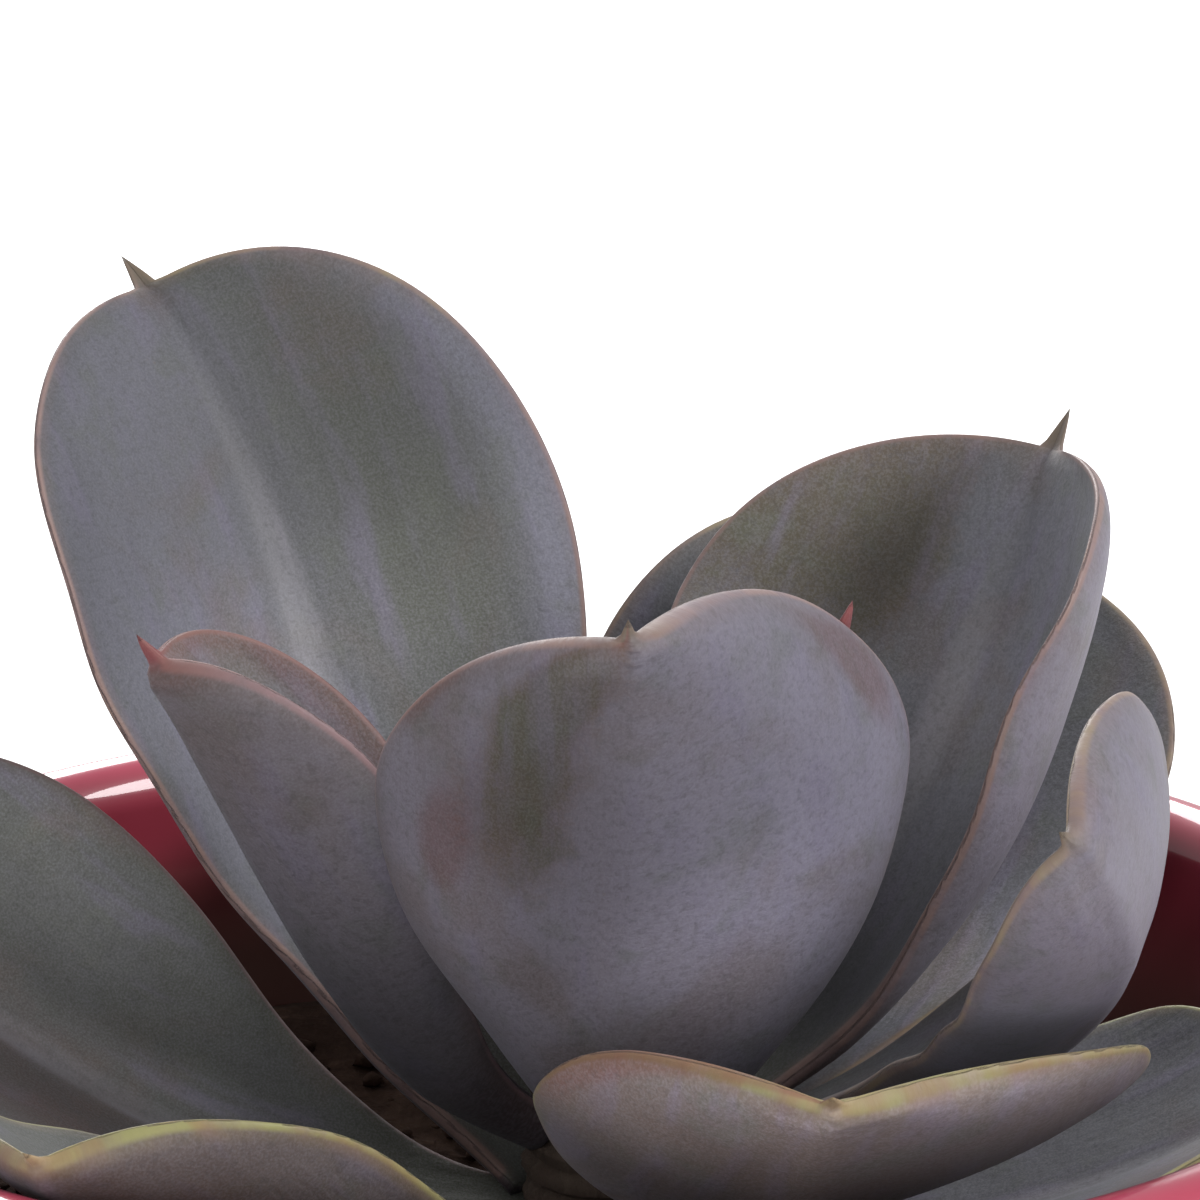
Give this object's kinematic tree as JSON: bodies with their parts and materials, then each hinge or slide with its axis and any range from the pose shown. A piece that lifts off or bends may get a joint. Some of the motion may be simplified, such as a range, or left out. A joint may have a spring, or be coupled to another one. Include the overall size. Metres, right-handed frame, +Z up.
{
  "type": "potted rosette succulent",
  "caption": "Rosette succulent with thick, spoon-shaped, waxy grey leaves, standing in the soil of a plain round glazed pot.",
  "frame": {"origin": "on the pot's axis, on the surface that its foot stands on", "axes": "+Z up along the pot's axis; the plant's front faces -Y, and +X is to its right seen from the front"},
  "size_m": [0.15, 0.15, 0.1712],
  "materials": {
    "glaze": "glossy crimson glaze",
    "earth": "dark, crumbly potting soil",
    "bark": "dry, rough stem",
    "leaf": "waxy grey-lilac bloom over green, satin"
  },
  "bodies": {
    "root": {"pot": "glaze", "soil": "earth", "stem": "bark", "leaf_bottom_back": "leaf", "leaf_curled_right": "leaf", "leaf_heart_back": "leaf", "leaf_heart_front": "leaf", "leaf_heart_left": "leaf", "leaf_heart_right": "leaf", "leaf_lower_back": "leaf", "leaf_lower_front": "leaf", "leaf_lower_front_left": "leaf", "leaf_lower_left": "leaf", "leaf_lower_right": "leaf", "leaf_upper_back_left": "leaf", "leaf_upper_back_right": "leaf", "leaf_upper_front": "leaf", "leaf_upper_left": "leaf"}
  },
  "joints": []
}
